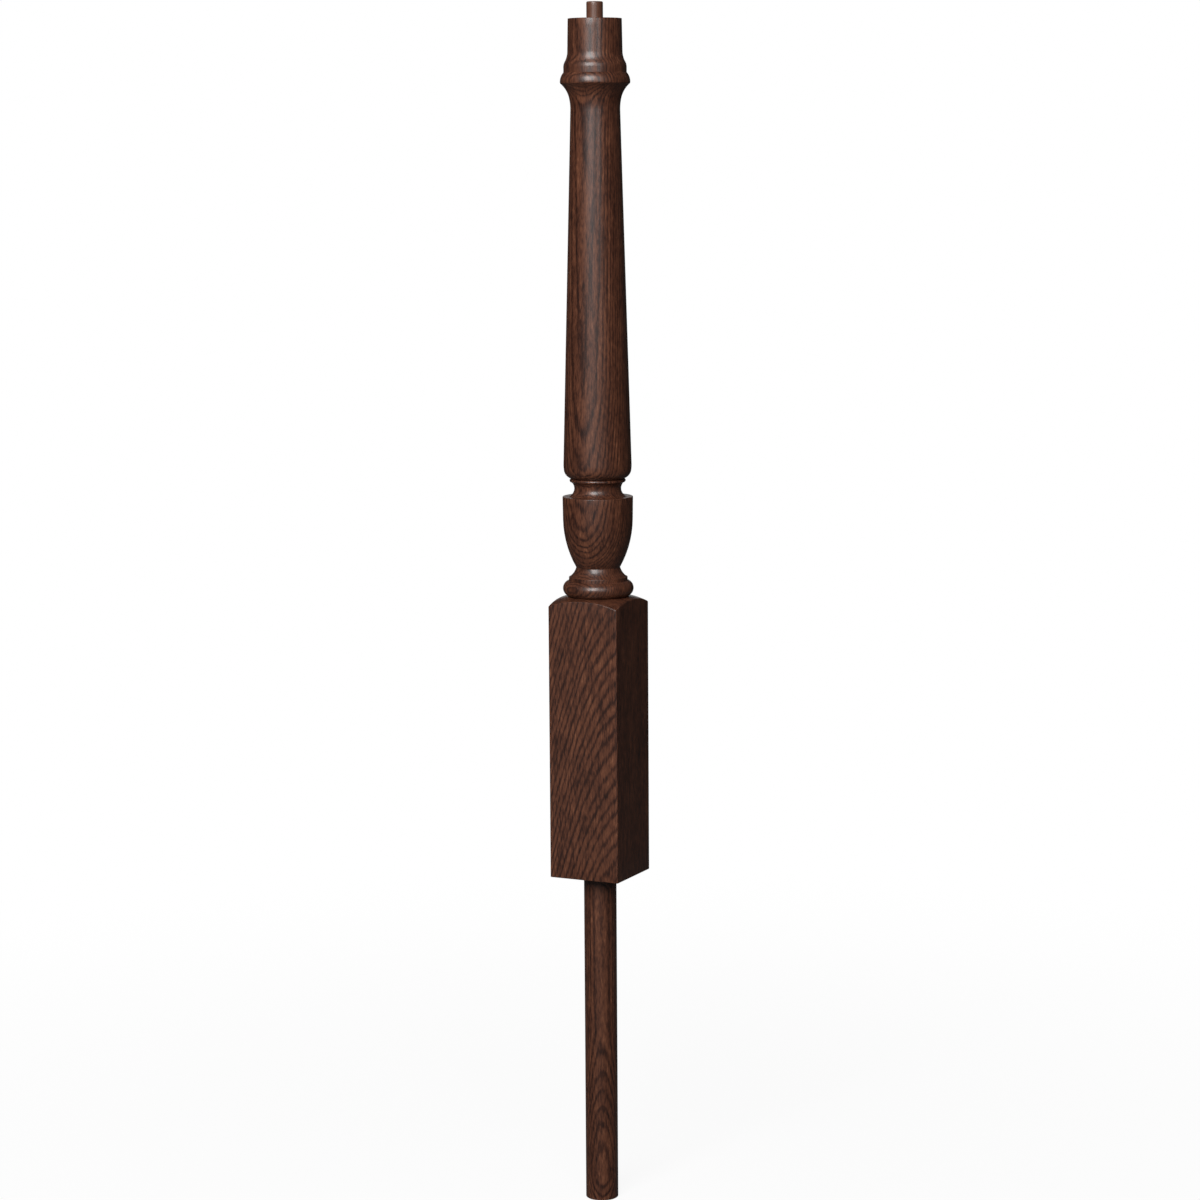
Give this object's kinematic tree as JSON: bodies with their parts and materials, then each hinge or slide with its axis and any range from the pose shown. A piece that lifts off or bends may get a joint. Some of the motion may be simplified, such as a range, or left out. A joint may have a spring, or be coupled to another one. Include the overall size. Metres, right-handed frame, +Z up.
{
  "type": "volute newel post",
  "caption": "Turned starting newel with a square block, a cup, a long taper and a beaded collar; it carries a handrail volute on its top pin and is fixed by a long dowel under the block.",
  "frame": {"origin": "centre of the block's underside, which seats on the starting tread", "axes": "+Z up along the post's axis to the rail seat and pin, +X and +Y square to two faces of the block"},
  "size_m": [0.0762, 0.0762, 1.223],
  "materials": {
    "stained_wood": "satin lacquer over a dark walnut stain, open straight grain"
  },
  "bodies": {
    "root": {"newel_post": "stained_wood"}
  },
  "joints": []
}
